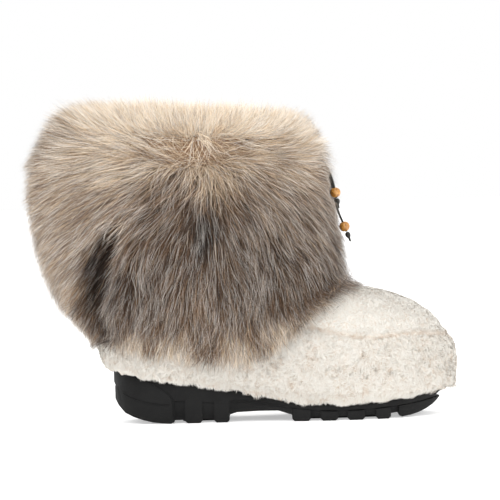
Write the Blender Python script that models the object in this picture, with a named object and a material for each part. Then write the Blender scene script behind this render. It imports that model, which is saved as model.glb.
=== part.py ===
"""A winter boot for the right foot: rubber cup sole, shearling upper, long fur cuff and beaded ties.

Metres. +X runs to the toe, +Y to the inner side of the foot, +Z up, and z = 0 is the ground.
Every form below is worked out in the last's own frame, whose x starts at the back end of the sole,
and is then hung on an empty that puts the origin under the middle of the heel.

Closed outlines run through COLUMNS angles: 0 at the back, half a turn at the toe, the inner side first.
"""

import math

import bmesh
import bpy
import numpy as np
from mathutils import Matrix, Vector

# Driving dimensions of the sole
SOLE_LENGTH = 0.270
BALL_WIDTH = 0.102
HEEL_HEIGHT = 0.033
BALL_HEIGHT = 0.0095
TOE_RISE = 0.0075
TREAD_DEPTH = 0.003
ARCH_RISE = 0.0085
TOE_SPRING = 0.017
HEEL_ROLL = 0.024
CUP_WALL = 0.003
CUP_LIP = 0.0045
CUP_HEEL_LIP = 0.0055
SIDE_RECESS = 0.0012
UNDERSIDE_INSET = 0.0045
LUG_PROUD = 0.00025
LUG_REACH = 0.024
LUG_CHAMFER = 0.0018
LUG_ROOT = 0.0015
CUP_FLOOR = 0.0025
CENTRE_LUG_SHARE = 0.92
ORIGIN_FROM_HEEL_END = 0.066

# Driving dimensions of the upper, its pile and the cuff
INSTEP_HEIGHT = 0.101
COLLAR_HEIGHT = 0.245
COLLAR_WIDTH = 0.122
UPPER_WALL = 0.003
INSOLE_THICKNESS = 0.004
HEEL_KEPT = 0.3
PILE = 0.0095
PILE_UNDER_CUFF = 0.0045
PILE_HIDDEN = 0.0030
SEAM_TROUGH = 0.0028
SEAM_HALF_WIDTH = 0.22
BAND_STEP = 0.0012
TOE_TUFT = 0.0028
HEM_DROP = 0.003
HEM_RAGGED = 0.0012
CUFF_WIDTH = 0.198
CUFF_BACK_DEPTH = 0.061
CUFF_FRONT_DEPTH = 0.0425
CUFF_RISE = 0.023
RIM_FALL = 0.4
CUFF_HEM_THICKNESS = 0.006
LOCK_TIERS = 7
LOCK_PROUD = 0.004
LOCK_DROP = 0.007
LOCK_TUCK = 0.007
HEM_LOCKS = 0.09
CLEFT_DEPTH = 0.010
PARTING_DEPTH = 0.010
PARTING_HALF_WIDTH = 0.020

# Driving dimensions of the ties
CORD_DIAMETER = 0.0018
BEAD_DIAMETER = 0.0092
BEAD_CLEARANCE = 0.0003
TIE_KNOT_DIAMETER = 0.007
END_KNOT_DIAMETER = 0.0048
END_KNOT_LENGTH = 0.0085

# Clearances between pieces
GAP = 0.0003
BEND_GAP = 0.0008
HEM_GAP = 0.0006
PILE_GAP = 0.0017

COLUMNS = 48
HEEL_ROUND = 0.16
TOE_ROUND = 0.24

# Plan of the sole: place along its length, half width and sideways shift, both as shares of the ball width
PLAN = np.array([
    (0.00, 0.350, 0.000),
    (0.14, 0.355, 0.000),
    (0.32, 0.350, -0.012),
    (0.46, 0.385, -0.020),
    (0.60, 0.470, -0.010),
    (0.69, 0.500, 0.000),
    (0.80, 0.492, 0.012),
    (0.90, 0.462, 0.028),
    (1.00, 0.430, 0.045),
])

# Footbed: place along the sole, then how much of the heel height, ball height and toe rise it has
FOOTBED = np.array([
    (0.00, 1.00, 0.00, 0.00),
    (0.12, 0.96, 0.04, 0.00),
    (0.26, 0.78, 0.22, 0.00),
    (0.42, 0.42, 0.58, 0.00),
    (0.56, 0.12, 0.88, 0.00),
    (0.69, 0.00, 1.00, 0.00),
    (0.86, 0.00, 1.00, 0.35),
    (1.00, 0.00, 1.00, 1.00),
])

# Underside between the lugs: place, then how much of the heel roll, tread depth, arch rise and toe spring
UNDERSIDE = np.array([
    (0.000, 1.00, 0.0, 0.0, 0.00),
    (0.012, 0.68, 0.0, 0.0, 0.00),
    (0.040, 0.36, 0.0, 0.0, 0.00),
    (0.090, 0.13, 0.2, 0.0, 0.00),
    (0.160, 0.00, 0.8, 0.0, 0.00),
    (0.340, 0.00, 1.0, 0.0, 0.00),
    (0.380, 0.00, 0.0, 1.0, 0.00),
    (0.500, 0.00, 0.0, 1.0, 0.00),
    (0.550, 0.00, 1.0, 0.0, 0.00),
    (0.800, 0.00, 1.0, 0.0, 0.02),
    (0.880, 0.00, 0.8, 0.0, 0.12),
    (0.940, 0.00, 0.4, 0.0, 0.36),
    (0.980, 0.00, 0.1, 0.0, 0.66),
    (1.000, 0.00, 0.0, 0.0, 1.00),
])

# Heel and toe blocks: place along the sole, underside as a share of the heel roll or toe spring
HEEL_BLOCK = ((0.004, 0.84), (0.015, 0.62), (0.035, 0.38), (0.06, 0.25), (0.09, 0.14),
              (0.12, 0.06), (0.15, 0.02), (0.174, 0.0), (0.185, 0.05))
TOE_BLOCK = ((0.863, 0.12), (0.872, 0.05), (0.900, 0.11), (0.925, 0.20), (0.950, 0.35),
             (0.970, 0.52), (0.985, 0.70), (0.995, 0.84))

# Lugs down the side: where each starts and ends along the sole
LUGS = ((0.218, 0.270), (0.306, 0.352), (0.541, 0.596), (0.626, 0.678), (0.707, 0.759), (0.793, 0.838))
# Centre lugs stand between the rows of side lugs
CENTRE_LUGS = ((0.205, 0.335), (0.575, 0.648), (0.668, 0.732), (0.752, 0.812))

# Rings of the upper above the sole. ring: place in the sequence of rings. back, front: shares of the
# sole length. heel, toe: height there, as shares of the instep height. grow: what the foot's half width
# gains, as a share of the ball width. leg: 0 is the foot's outline, 1 the leg's oval, leg_width its
# width as a share of the collar's. follow: how much the ring sinks and lifts with the footbed.
FOOT_RINGS = np.array([
    # ring  back    front   heel   toe    grow    leg   leg_width follow
    (2.0, -0.002, 1.002, 0.500, 0.250, 0.010, 0.00, 0.60, 0.80),
    (3.0, -0.008, 1.008, 0.630, 0.430, 0.016, 0.00, 0.60, 0.35),
    (4.0, -0.008, 1.000, 0.750, 0.590, 0.006, 0.00, 0.60, 0.10),
    (5.0, -0.005, 0.972, 0.870, 0.725, -0.030, 0.08, 0.62, 0.00),
    (6.0, 0.000, 0.918, 0.985, 0.835, -0.075, 0.22, 0.64, 0.00),
    (7.0, 0.003, 0.848, 1.085, 0.915, -0.115, 0.40, 0.66, 0.00),
    (8.0, 0.006, 0.775, 1.165, 0.965, -0.140, 0.58, 0.69, 0.00),
    (9.0, 0.008, 0.706, 1.240, 1.000, -0.150, 0.74, 0.73, 0.00),
])
# Rings of the shaft, with heights as shares of the way from the instep to the collar
SHAFT_RINGS = np.array([
    (10.0, 0.008, 0.646, 0.225, 0.070, -0.150, 0.88, 0.78, 0.00),
    (11.0, 0.006, 0.604, 0.310, 0.185, -0.150, 1.00, 0.84, 0.00),
    (12.0, 0.000, 0.572, 0.480, 0.395, -0.150, 1.00, 0.91, 0.00),
    (13.0, -0.010, 0.554, 0.730, 0.690, -0.150, 1.00, 0.97, 0.00),
    (14.0, -0.026, 0.550, 1.000, 1.000, -0.150, 1.00, 1.00, 0.00),
])
FOOT_STEPS = (0.0, 1.0, 2.0, 3.0, 4.0, 4.7, 5.4, 6.2, 7.0, 8.0, 9.0)
SHAFT_STEPS = (10.0, 11.0, 12.0, 13.0, 14.0)
APRON_SEAM_RING = 4.55
PILE_TOP_RING = 9.0

# Where the cuff's hem lies on the upper: along the hem from back to front, the ring and the place on it
CUFF_HEM = np.array([
    (0.00, 3.7, 0.00),
    (0.25, 3.2, 0.14),
    (0.50, 2.9, 0.33),
    (0.70, 3.5, 0.48),
    (0.84, 4.9, 0.61),
    (0.91, 6.2, 0.72),
    (0.96, 7.6, 0.85),
    (1.00, 8.6, 1.00),
])

# Outside of the cuff from above its hem to its crest. up: place from hem to crest. back, front: shares of
# the back and front reach. heel, toe: heights as shares of the collar height. width: share of the cuff's
# width. sag: how far the sides hang below the ends, as a share of the collar height.
CUFF_FORM = np.array([
    # up    back    front   heel   toe    width  sag
    (0.00, 0.250, 0.990, 0.330, 0.455, 0.66, 0.085),
    (0.14, 0.640, 1.020, 0.430, 0.490, 0.80, 0.060),
    (0.28, 0.820, 1.015, 0.540, 0.550, 0.92, 0.030),
    (0.42, 0.945, 1.005, 0.660, 0.620, 0.99, 0.000),
    (0.57, 1.000, 0.990, 0.790, 0.730, 1.00, -0.010),
    (0.71, 0.960, 0.965, 0.895, 0.830, 0.98, -0.015),
    (0.84, 0.740, 0.925, 0.985, 0.920, 0.92, -0.018),
    (0.93, 0.460, 0.865, 1.040, 0.985, 0.82, -0.016),
    (1.00, 0.200, 0.800, 1.072, 1.035, 0.69, -0.014),
])

# Clefts beside the flap at the back of the cuff: place up the cuff and along it, for each end of a cleft
CLEFT = ((0.10, 0.12), (0.62, 0.27))
CLEFT_HALF_WIDTH = 0.045
CLEFT_SPAN = (0.02, 0.66)
PARTING_SPAN = (0.30, 0.90)

# Routes of the two ties in the last's frame, chosen by hand: out of the knot, down to the bead, to the end
SHORT_TIE = ((0.1776, -0.00205, 0.21035), (0.1806, -0.0036, 0.2052), (0.1832, -0.0048, 0.2000),
             (0.1850, -0.0054, 0.1950), (0.1862, -0.0057, 0.1900), (0.18715, -0.00585, 0.1850),
             (0.1881, -0.0060, 0.1800))
LONG_TIE = ((0.1776, 0.00205, 0.21035), (0.1812, 0.0034, 0.2040), (0.1838, 0.0046, 0.1960),
            (0.1856, 0.0053, 0.1870), (0.1872, 0.0058, 0.1780), (0.1894, 0.0060, 0.1690),
            (0.1918, 0.0061, 0.1625), (0.1940, 0.0061, 0.1572), (0.1960, 0.0060, 0.1518))
TIE_KNOT_AT = (0.1753, 0.0, 0.2130)
TIE_POINT_SPACING = 2.2
BEAD_FROM_END = 0.0046

ANGLES = 2 * np.pi * np.arange(COLUMNS) / COLUMNS
ALONG = (1 - np.cos(ANGLES)) / 2
CLOSE_DELTA = 1e-3

# Colours as linear values, roughness and metallic
FINISHES = {
    "black_rubber": ((0.012, 0.012, 0.013), 0.62, 0.0),
    "cream_lining": ((0.62, 0.55, 0.46), 0.95, 0.0),
    "cream_leather": ((0.66, 0.60, 0.52), 0.80, 0.0),
    "white_fleece": ((0.80, 0.75, 0.69), 1.00, 0.0),
    "brown_fur": ((0.24, 0.17, 0.12), 0.90, 0.0),
    "black_cord": ((0.015, 0.014, 0.013), 0.70, 0.0),
    "amber_wood": ((0.48, 0.22, 0.05), 0.35, 0.0),
}


# Smooth tables


def smooth(places, values, at):
    """A cubic through the points (places, values) that never overshoots, read at the places in at."""
    at = np.clip(np.asarray(at, float), places[0], places[-1])
    step = np.diff(places)
    slope = np.diff(values) / step
    tangent = np.zeros(len(places))
    same = slope[:-1] * slope[1:] > 0
    mean = 2 * slope[:-1] * slope[1:] / np.where(same, slope[:-1] + slope[1:], 1)
    tangent[1:-1] = np.where(same, mean, 0)
    tangent[0], tangent[-1] = slope[0], slope[-1]
    cell = np.clip(np.searchsorted(places, at, side="right") - 1, 0, len(step) - 1)
    width = step[cell]
    part = (at - places[cell]) / width
    rest = 1 - part
    ends = values[cell] * (1 + 2 * part) * rest**2 + values[cell + 1] * (3 - 2 * part) * part**2
    return ends + width * part * rest * (tangent[cell] * rest - tangent[cell + 1] * part)


def column(table, index, at):
    return smooth(table[:, 0], table[:, index], at)


def rise(start, end, at):
    """0 before start, 1 after end, and a soft step between them."""
    share = np.clip((np.asarray(at, float) - start) / (end - start), 0, 1)
    return share * share * (3 - 2 * share)


# The sole's own lines


def closing(along):
    """How far the outline has opened to its full width, near the round heel and toe."""
    heel = np.clip(1 - along / HEEL_ROUND, 0, 1)
    toe = np.clip(1 - (1 - along) / TOE_ROUND, 0, 1)
    return np.sqrt(1 - heel**2) * np.sqrt(1 - toe**2)


def footbed(along):
    shares = [column(FOOTBED, i, along) for i in (1, 2, 3)]
    return shares[0] * HEEL_HEIGHT + shares[1] * BALL_HEIGHT + shares[2] * TOE_RISE


def cup_top(along):
    return footbed(along) + CUP_LIP + CUP_HEEL_LIP * (1 - rise(0.0, 0.16, along))


def underside(along):
    sizes = (HEEL_ROLL, TREAD_DEPTH, ARCH_RISE, TOE_SPRING)
    return sum(column(UNDERSIDE, i + 1, along) * size for i, size in enumerate(sizes))


def band_bottom(along):
    """Where the plain band at the top of the sole's side ends."""
    return (cup_top(along) + underside(along)) / 2


def plan_ring(inset, height):
    """A closed outline of the sole, moved in by inset, at the heights that height gives along it."""
    x = inset + (SOLE_LENGTH - 2 * inset) * ALONG
    half = (column(PLAN, 1, ALONG) * BALL_WIDTH - inset) * closing(ALONG)
    y = column(PLAN, 2, ALONG) * BALL_WIDTH + half * np.sign(np.sin(ANGLES).round(9))
    return np.stack([x, y, height(ALONG)], 1)


def edge(along, side, outset):
    """The sideways place of the sole's edge: side is +1 on the inner side and -1 on the outer."""
    half = (column(PLAN, 1, along) * BALL_WIDTH + outset) * closing(along)
    return column(PLAN, 2, along) * BALL_WIDTH + side * half


# The upper's own surface


def upper_rings():
    """The rings of the upper in metres: ring, back, front, heel z, toe z, grow, leg, leg width, follow."""
    inset = CUP_WALL + GAP
    base = []
    for ring, height in ((0.0, lambda at: footbed(at) + GAP), (1.0, lambda at: cup_top(at) + GAP)):
        ends = height(np.array([0.0, 1.0]))
        base.append((ring, inset, SOLE_LENGTH - inset, ends[0], ends[1], -inset, 0.0,
                     FOOT_RINGS[0, 7] * COLLAR_WIDTH, 1.0))
    length, width, collar = SOLE_LENGTH, BALL_WIDTH, COLLAR_WIDTH
    scale = np.array([1, length, length, INSTEP_HEIGHT, INSTEP_HEIGHT, width, 1, collar, 1])
    foot = FOOT_RINGS * scale
    shaft_scale = scale.copy()
    shaft_scale[3:5] = COLLAR_HEIGHT - INSTEP_HEIGHT
    shaft = SHAFT_RINGS * shaft_scale
    shaft[:, 3:5] += INSTEP_HEIGHT
    return np.vstack([np.array(base), foot, shaft])


RINGS = upper_rings()
# The cuff reaches from the heel end back to its deepest fur, and forward over the front of the shaft
CUFF_BACK_REACH = CUFF_BACK_DEPTH - SHAFT_RINGS[-1, 1] * SOLE_LENGTH
CUFF_FRONT_REACH = CUFF_FRONT_DEPTH + SHAFT_RINGS[-1, 2] * SOLE_LENGTH


def skin_place(ring, angle):
    """A point of the upper's outer surface, at that ring and angle."""
    along = (1 - np.cos(angle)) / 2
    back, front, heel, toe, grow, leg, leg_width, follow = (column(RINGS, i, ring) for i in range(1, 9))
    kept = HEEL_KEPT + (1 - HEEL_KEPT) * rise(0.2, 0.7, along)
    foot_half = (column(PLAN, 1, along) * BALL_WIDTH + grow * np.where(grow < -0.004, kept, 1)) * closing(along)
    half = (1 - leg) * foot_half + leg * leg_width / 2 * np.abs(np.sin(angle))
    middle = (1 - leg) * column(PLAN, 2, along) * BALL_WIDTH
    sink = footbed(along) - footbed(0.0) * (1 - along) - footbed(1.0) * along
    lip = (cup_top(along) - footbed(along)) - (CUP_LIP + CUP_HEEL_LIP * (1 - along))
    low = np.clip(ring, 0, 1) * (1 - rise(1.0, 3.0, ring))
    return np.stack([
        back + (front - back) * along,
        middle + half * np.sign(np.sin(angle).round(9)),
        heel + (toe - heel) * along + follow * (sink + low * lip),
    ], -1)


def skin(ring, angle, out):
    """That point moved out from the surface by out."""
    ring = np.broadcast_to(np.asarray(ring, float), np.shape(angle))
    upward = skin_place(ring + CLOSE_DELTA, angle) - skin_place(ring - CLOSE_DELTA, angle)
    onward = skin_place(ring, angle + CLOSE_DELTA) - skin_place(ring, angle - CLOSE_DELTA)
    normal = np.cross(upward, onward)
    normal /= np.linalg.norm(normal, axis=-1, keepdims=True)
    return skin_place(ring, angle) + normal * np.asarray(out, float)[..., None]


def seat(ring):
    """The clearance over the upper: wider round the instep, where faces of both bend sharply."""
    return GAP + BEND_GAP * rise(5.0, 6.5, ring) * (1 - rise(11.0, 13.0, ring))


# Meshes from outlines


def new_object(name, bm, finish):
    bmesh.ops.recalc_face_normals(bm, faces=bm.faces)
    mesh = bpy.data.meshes.new(name)
    bm.to_mesh(mesh)
    bm.free()
    mesh.shade_smooth()
    mesh.set_sharp_from_angle(angle=math.radians(40))
    mesh.materials.append(material(finish))
    obj = bpy.data.objects.new(name, mesh)
    bpy.context.scene.collection.objects.link(obj)
    return obj


def material(finish):
    if finish in bpy.data.materials:
        return bpy.data.materials[finish]
    colour, roughness, metallic = FINISHES[finish]
    made = bpy.data.materials.new(finish)
    made.use_nodes = True
    shader = made.node_tree.nodes["Principled BSDF"]
    shader.inputs["Base Color"].default_value = (*colour, 1.0)
    shader.inputs["Roughness"].default_value = roughness
    shader.inputs["Metallic"].default_value = metallic
    return made


def add_rings(bm, rings, closed):
    """Joins outlines of equal length by quads. closed also joins the last one to the first."""
    loops = [[bm.verts.new(point) for point in ring] for ring in rings]
    pairs = list(zip(loops, loops[1:]))
    if closed:
        pairs.append((loops[-1], loops[0]))
    for low, high in pairs:
        count = len(low)
        for i in range(count):
            after = (i + 1) % count
            bm.faces.new((low[i], low[after], high[after], high[i]))
    return loops


def add_ladder(bm, loop):
    """Fills an outline by faces from each point straight across to the one on the other side."""
    count = len(loop)
    for i in range(count // 2):
        corners = [loop[i], loop[i + 1], loop[-i - 1], loop[-i % count]]
        bm.faces.new(list(dict.fromkeys(corners)))


def ring_shell(name, rings, finish):
    bm = bmesh.new()
    add_rings(bm, rings, closed=True)
    return new_object(name, bm, finish)


def ladder_solid(bm, rings):
    loops = add_rings(bm, rings, closed=False)
    add_ladder(bm, loops[0])
    add_ladder(bm, loops[-1])


def add_plank(bm, stations):
    """A solid bar through cross-sections (x, y, other y, low z, high z)."""
    loops = []
    for x, near, far, low, high in stations:
        corners = ((near, low), (far, low), (far, high), (near, high))
        loops.append([bm.verts.new((x, y, z)) for y, z in corners])
    for before, after in zip(loops, loops[1:]):
        for i in range(4):
            j = (i + 1) % 4
            bm.faces.new((before[i], before[j], after[j], after[i]))
    bm.faces.new(loops[0])
    bm.faces.new(loops[-1])


# The sole


def block_top(along):
    """How high the blocks and lugs reach into the sole, short of the cup's floor."""
    return np.minimum(band_bottom(along) + LUG_ROOT, footbed(along) - CUP_FLOOR)


def add_block(bm, table, rolled):
    """The plain block under the heel's back or the toe, across the whole sole."""
    stations = []
    for along, share in table:
        edges = [edge(along, side, LUG_PROUD) for side in (-1, 1)]
        stations.append((along * SOLE_LENGTH, *edges, share * rolled, block_top(along)))
    add_plank(bm, stations)


def lug_stations(start, end):
    """Places along a lug, and how far its underside is chamfered at each."""
    chamfer = LUG_CHAMFER / SOLE_LENGTH
    return ((start, LUG_CHAMFER), (start + chamfer, 0.0), (end - chamfer, 0.0), (end, LUG_CHAMFER))


def add_lugs(bm):
    for start, end in LUGS:
        for side in (-1, 1):
            stations = []
            for along, lift in lug_stations(start, end):
                outer = edge(along, side, LUG_PROUD)
                inner = outer - side * LUG_REACH
                stations.append((along * SOLE_LENGTH, outer, inner, lift, block_top(along)))
            add_plank(bm, stations)
    for start, end in CENTRE_LUGS:
        stations = []
        for along, lift in lug_stations(start, end):
            middle = column(PLAN, 2, along) * BALL_WIDTH
            half = (edge(along, 1, 0.0) - middle - LUG_REACH) * CENTRE_LUG_SHARE
            sides = (middle - half, middle + half)
            stations.append((along * SOLE_LENGTH, *sides, lift, underside(along) + LUG_ROOT))
        add_plank(bm, stations)


def make_outsole():
    """Cup, band, recessed side and tread. The lugs and blocks are joined to the cup."""
    bm = bmesh.new()
    ladder_solid(bm, [
        plan_ring(CUP_WALL, footbed),
        plan_ring(CUP_WALL, cup_top),
        plan_ring(0.0, cup_top),
        plan_ring(0.0, band_bottom),
        plan_ring(SIDE_RECESS, lambda at: band_bottom(at) - SIDE_RECESS),
        plan_ring(SIDE_RECESS, lambda at: underside(at) + (cup_top(at) - underside(at)) * 0.3),
        plan_ring(UNDERSIDE_INSET, underside),
    ])
    outsole = new_object("outsole", bm, "black_rubber")
    bm = bmesh.new()
    add_block(bm, HEEL_BLOCK, HEEL_ROLL)
    add_block(bm, TOE_BLOCK, TOE_SPRING)
    add_lugs(bm)
    tread = new_object("outsole_tread", bm, "black_rubber")
    tread.hide_render = True
    tread.display_type = "WIRE"
    union = outsole.modifiers.new("tread", "BOOLEAN")
    union.operation = "UNION"
    union.solver = "EXACT"
    union.object = tread
    return [outsole, tread]


def make_insole():
    inset = CUP_WALL + GAP + UPPER_WALL + GAP
    bm = bmesh.new()
    ladder_solid(bm, [
        plan_ring(inset, lambda at: footbed(at) + GAP),
        plan_ring(inset, lambda at: footbed(at) + GAP + INSOLE_THICKNESS),
    ])
    return [new_object("insole", bm, "cream_lining")]


# The upper and its pile


def inner_ring(ring):
    """The inside of the upper's wall. Inside the cup it keeps to the sole's outline."""
    if ring <= 1.0:
        outer = skin_place(np.full(COLUMNS, ring), ANGLES)
        inset = plan_ring(CUP_WALL + GAP + UPPER_WALL, footbed)
        return np.column_stack([inset[:, :2], outer[:, 2]])
    return skin(ring, ANGLES, np.full(COLUMNS, -UPPER_WALL))


def make_upper():
    """Foot and shaft in one wall, open at the collar and over the sole."""
    steps = FOOT_STEPS + SHAFT_STEPS
    outside = [skin_place(np.full(COLUMNS, ring), ANGLES) for ring in steps]
    inside = [inner_ring(ring) for ring in reversed(steps)]
    return [ring_shell("upper", outside + inside, "cream_leather")]


def over_upper(ring):
    """The outline that lies on the upper at that ring."""
    return skin(ring, ANGLES, np.full(COLUMNS, seat(ring)))


def pile_depth(ring, along):
    """How deep the white pile is: thinner under the cuff, sunk at the apron seam, full at the toe."""
    depth = PILE + (PILE_UNDER_CUFF - PILE) * rise(8.0, 9.0, ring)
    depth = depth - SEAM_TROUGH * np.exp(-(((ring - APRON_SEAM_RING) / SEAM_HALF_WIDTH) ** 2))
    depth = depth + BAND_STEP * (1 - rise(APRON_SEAM_RING - 0.3, APRON_SEAM_RING, ring))
    return depth + TOE_TUFT * rise(0.86, 1.0, along) * (1 - rise(3.6, 5.4, ring))


def hidden_pile(ring, along):
    """How much shallower the pile is where the cuff lies over it."""
    hem = smooth(CUFF_HEM[:, 2], CUFF_HEM[:, 1], along)
    return (pile_depth(ring, along) - PILE_HIDDEN) * rise(hem + 0.05, hem + 0.9, ring)


def hem_height(along):
    ragged = HEM_RAGGED * np.where(np.arange(COLUMNS) % 2 == 0, 1, -1)
    return cup_top(along) - HEM_DROP + ragged


def make_pile():
    """The white fleece round the foot, hanging over the sole's edge, with tufts along its hem."""
    steps = (2.0, 3.0, 3.8, 4.3, APRON_SEAM_RING, 4.8, 5.4, 6.2, 7.0, 8.0, PILE_TOP_RING)
    mid_hem = -HEM_GAP - PILE * 0.75
    outside = [plan_ring(-HEM_GAP - PILE * 0.35, hem_height),
               plan_ring(mid_hem, lambda at: cup_top(at) + CUP_LIP * 0.4)]
    for ring in steps:
        depth = pile_depth(ring, ALONG) - hidden_pile(ring, ALONG)
        outside.append(skin(ring, ANGLES, seat(ring) + depth))
    inside = [over_upper(ring) for ring in reversed(FOOT_STEPS) if ring >= 2.0]
    inside += [plan_ring(-HEM_GAP, lambda at: cup_top(at) + GAP), plan_ring(-HEM_GAP, hem_height)]
    return [ring_shell("foot_fleece", outside + inside, "white_fleece")]


# The cuff


def hem_place(share, thickness):
    """The cuff's underside over the pile: share 0 at the hem, 1 at the top of the pile, -1 far below."""
    ring = column(CUFF_HEM, 1, ALONG) * (1 - share) + PILE_TOP_RING * share
    along = column(CUFF_HEM, 2, ALONG) * (1 - share) + ALONG * share
    angle = np.arccos(np.clip(1 - 2 * along, -1, 1))
    angle = np.where(ANGLES > np.pi, 2 * np.pi - angle, angle)
    return skin(ring, angle, seat(ring) + pile_depth(ring, along) + PILE_GAP + thickness)


def cleft_depth(up):
    """The troughs beside the back flap and down the front, at that place up the cuff."""
    (low, low_along), (high, high_along) = CLEFT
    line = low_along + (high_along - low_along) * (up - low) / (high - low)
    fade = rise(CLEFT_SPAN[0], CLEFT_SPAN[0] + 0.1, up) * (1 - rise(CLEFT_SPAN[1] - 0.15, CLEFT_SPAN[1], up))
    trough = CLEFT_DEPTH * fade * np.exp(-(((ALONG - line) / CLEFT_HALF_WIDTH) ** 2))
    across = CUFF_WIDTH / 2 * np.sin(ANGLES)
    near_front = np.exp(-((across / PARTING_HALF_WIDTH) ** 2)) * (ALONG > 0.5)
    span = rise(PARTING_SPAN[0] - 0.16, PARTING_SPAN[0], up) * (1 - rise(PARTING_SPAN[1], 1.0, up))
    return trough + PARTING_DEPTH * span * near_front


def cuff_ring(up, proud, drop):
    """The cuff's outside at that place up it, moved out by proud and down by drop for each column."""
    back, front, heel, toe, width, sag = (column(CUFF_FORM, i, up) for i in range(1, 7))
    x = -back * CUFF_BACK_REACH + (front * CUFF_FRONT_REACH + back * CUFF_BACK_REACH) * ALONG
    y = width * CUFF_WIDTH / 2 * np.sin(ANGLES)
    z = (heel + (toe - heel) * ALONG - sag * 4 * ALONG * (1 - ALONG)) * COLLAR_HEIGHT
    form = np.stack([x, y, z], 1)
    outward = np.stack([-np.cos(ANGLES), np.sin(ANGLES), np.zeros(COLUMNS)], 1)
    hem = hem_place(0.0, CUFF_HEM_THICKNESS)
    near_hem = (1 - rise(0.0, 0.22, up)) ** 1.5
    moved = form + (hem - form) * near_hem + outward * (proud - cleft_depth(up))[:, None]
    moved[:, 2] -= drop
    return moved


def lock_tier(tier):
    """Three outlines of one tier of fur locks: tucked root, full belly and hanging tips."""
    height = 1 / LOCK_TIERS
    low = tier * height
    crest = np.where((np.arange(COLUMNS) + tier) % 2 == 0, 1.0, 0.0)
    front = np.exp(-(((CUFF_WIDTH / 2 * np.sin(ANGLES)) / PARTING_HALF_WIDTH) ** 2)) * (ALONG > 0.5)
    crest = crest * (1 - front)
    tips = cuff_ring(low + 0.14 * height, LOCK_PROUD * crest, LOCK_DROP * crest)
    belly = cuff_ring(low + 0.60 * height, LOCK_PROUD * 0.6 * crest, LOCK_DROP * 0.3 * crest)
    root = cuff_ring(low + 0.99 * height, np.full(COLUMNS, -LOCK_TUCK), np.zeros(COLUMNS))
    if tier == 0:
        tips = hem_place(-HEM_LOCKS * crest, CUFF_HEM_THICKNESS * (0.8 + 0.4 * crest))
    return [tips, belly, root]


def make_cuff():
    """The fur turned down over the shaft: hollow for the leg, its locks in tiers one over the other."""
    outside = [hem_place(0.0, CUFF_HEM_THICKNESS * 0.5)]
    for tier in range(LOCK_TIERS):
        outside += lock_tier(tier)
    none = np.zeros(COLUMNS)
    crest = skin_place(np.full(COLUMNS, 14.0), ANGLES)
    outward = np.stack([-np.cos(ANGLES), np.sin(ANGLES), none], 1)
    outside[-1] = cuff_ring(1.0, none, none)
    above = CUFF_RISE * (1 - RIM_FALL * ALONG)
    rim = crest + outward * PILE * 0.45 + np.stack([none, none, above], 1)
    mouth = crest + outward * GAP + np.stack([none, none, above * 0.55], 1)
    inside = [over_upper(ring) for ring in reversed(SHAFT_STEPS)]
    under = [hem_place(share, 0.0) for share in (1.0, 0.8, 0.6, 0.4, 0.2, 0.0)]
    return [ring_shell("fur_cuff", outside + [rim, mouth] + inside + under, "brown_fur")]


# The ties


def smooth_route(points, spacing):
    """Points every spacing along a soft curve through the given points."""
    points = np.array(points)
    reach = np.concatenate([[0], np.cumsum(np.linalg.norm(np.diff(points, axis=0), axis=1))])
    count = max(2, round(reach[-1] / spacing))
    at = np.linspace(0, reach[-1], count + 1)
    return np.stack([smooth(reach, points[:, i], at) for i in range(3)], 1)


def end_frame(route, back):
    """The place back from a route's end, and the turn that points +Z along the cord there."""
    reach = np.concatenate([[0], np.cumsum(np.linalg.norm(np.diff(route, axis=0), axis=1))])
    place = Vector([np.interp(reach[-1] - back, reach, route[:, i]) for i in range(3)])
    heading = Vector(route[-1] - route[-2]).normalized()
    return Matrix.Translation(place) @ heading.to_track_quat("Z", "Y").to_matrix().to_4x4()


def turned(name, profile, closed, frame, finish, sides=12):
    """A solid turned about +Z of frame from (radius, height) pairs. closed joins the profile's ends."""
    bm = bmesh.new()
    loops = []
    for radius, height in profile:
        turn = [2 * math.pi * i / sides for i in range(sides)]
        loops.append([frame @ Vector((radius * math.cos(a), radius * math.sin(a), height)) for a in turn])
    made = add_rings(bm, loops, closed)
    if not closed:
        bm.faces.new(made[0])
        bm.faces.new(made[-1])
    return new_object(name, bm, finish)


def make_bead(name, frame):
    """A round wooden bead with its bore."""
    bore = CORD_DIAMETER / 2 + BEAD_CLEARANCE
    radius = BEAD_DIAMETER / 2
    start = math.asin(bore / radius)
    turns = [start + (math.pi - 2 * start) * i / 7 for i in range(8)]
    profile = [(radius * math.sin(a), -radius * math.cos(a)) for a in turns]
    return turned(name, profile, True, frame, "amber_wood")


def make_end_knot(name, frame):
    """The stopper knot under a bead, with the cut end of the cord below it."""
    radius = END_KNOT_DIAMETER / 2
    cord = CORD_DIAMETER / 2
    shares = ((0.35, 0.0), (0.9, 0.12), (1.0, 0.3), (0.82, 0.5), (0.45, 0.62))
    profile = [(radius * r, GAP + END_KNOT_LENGTH * h) for r, h in shares]
    profile += [(cord, GAP + END_KNOT_LENGTH * 0.66), (cord, GAP + END_KNOT_LENGTH)]
    return turned(name, profile, False, frame, "black_cord", sides=8)


def make_cord(name, route):
    curve = bpy.data.curves.new(name, "CURVE")
    curve.dimensions = "3D"
    curve.bevel_depth = CORD_DIAMETER / 2
    curve.bevel_resolution = 2
    curve.use_fill_caps = True
    spline = curve.splines.new("POLY")
    spline.points.add(len(route) - 1)
    for point, place in zip(spline.points, route):
        point.co = (*place, 1.0)
    curve.materials.append(material("black_cord"))
    obj = bpy.data.objects.new(name, curve)
    bpy.context.scene.collection.objects.link(obj)
    return obj


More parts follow.
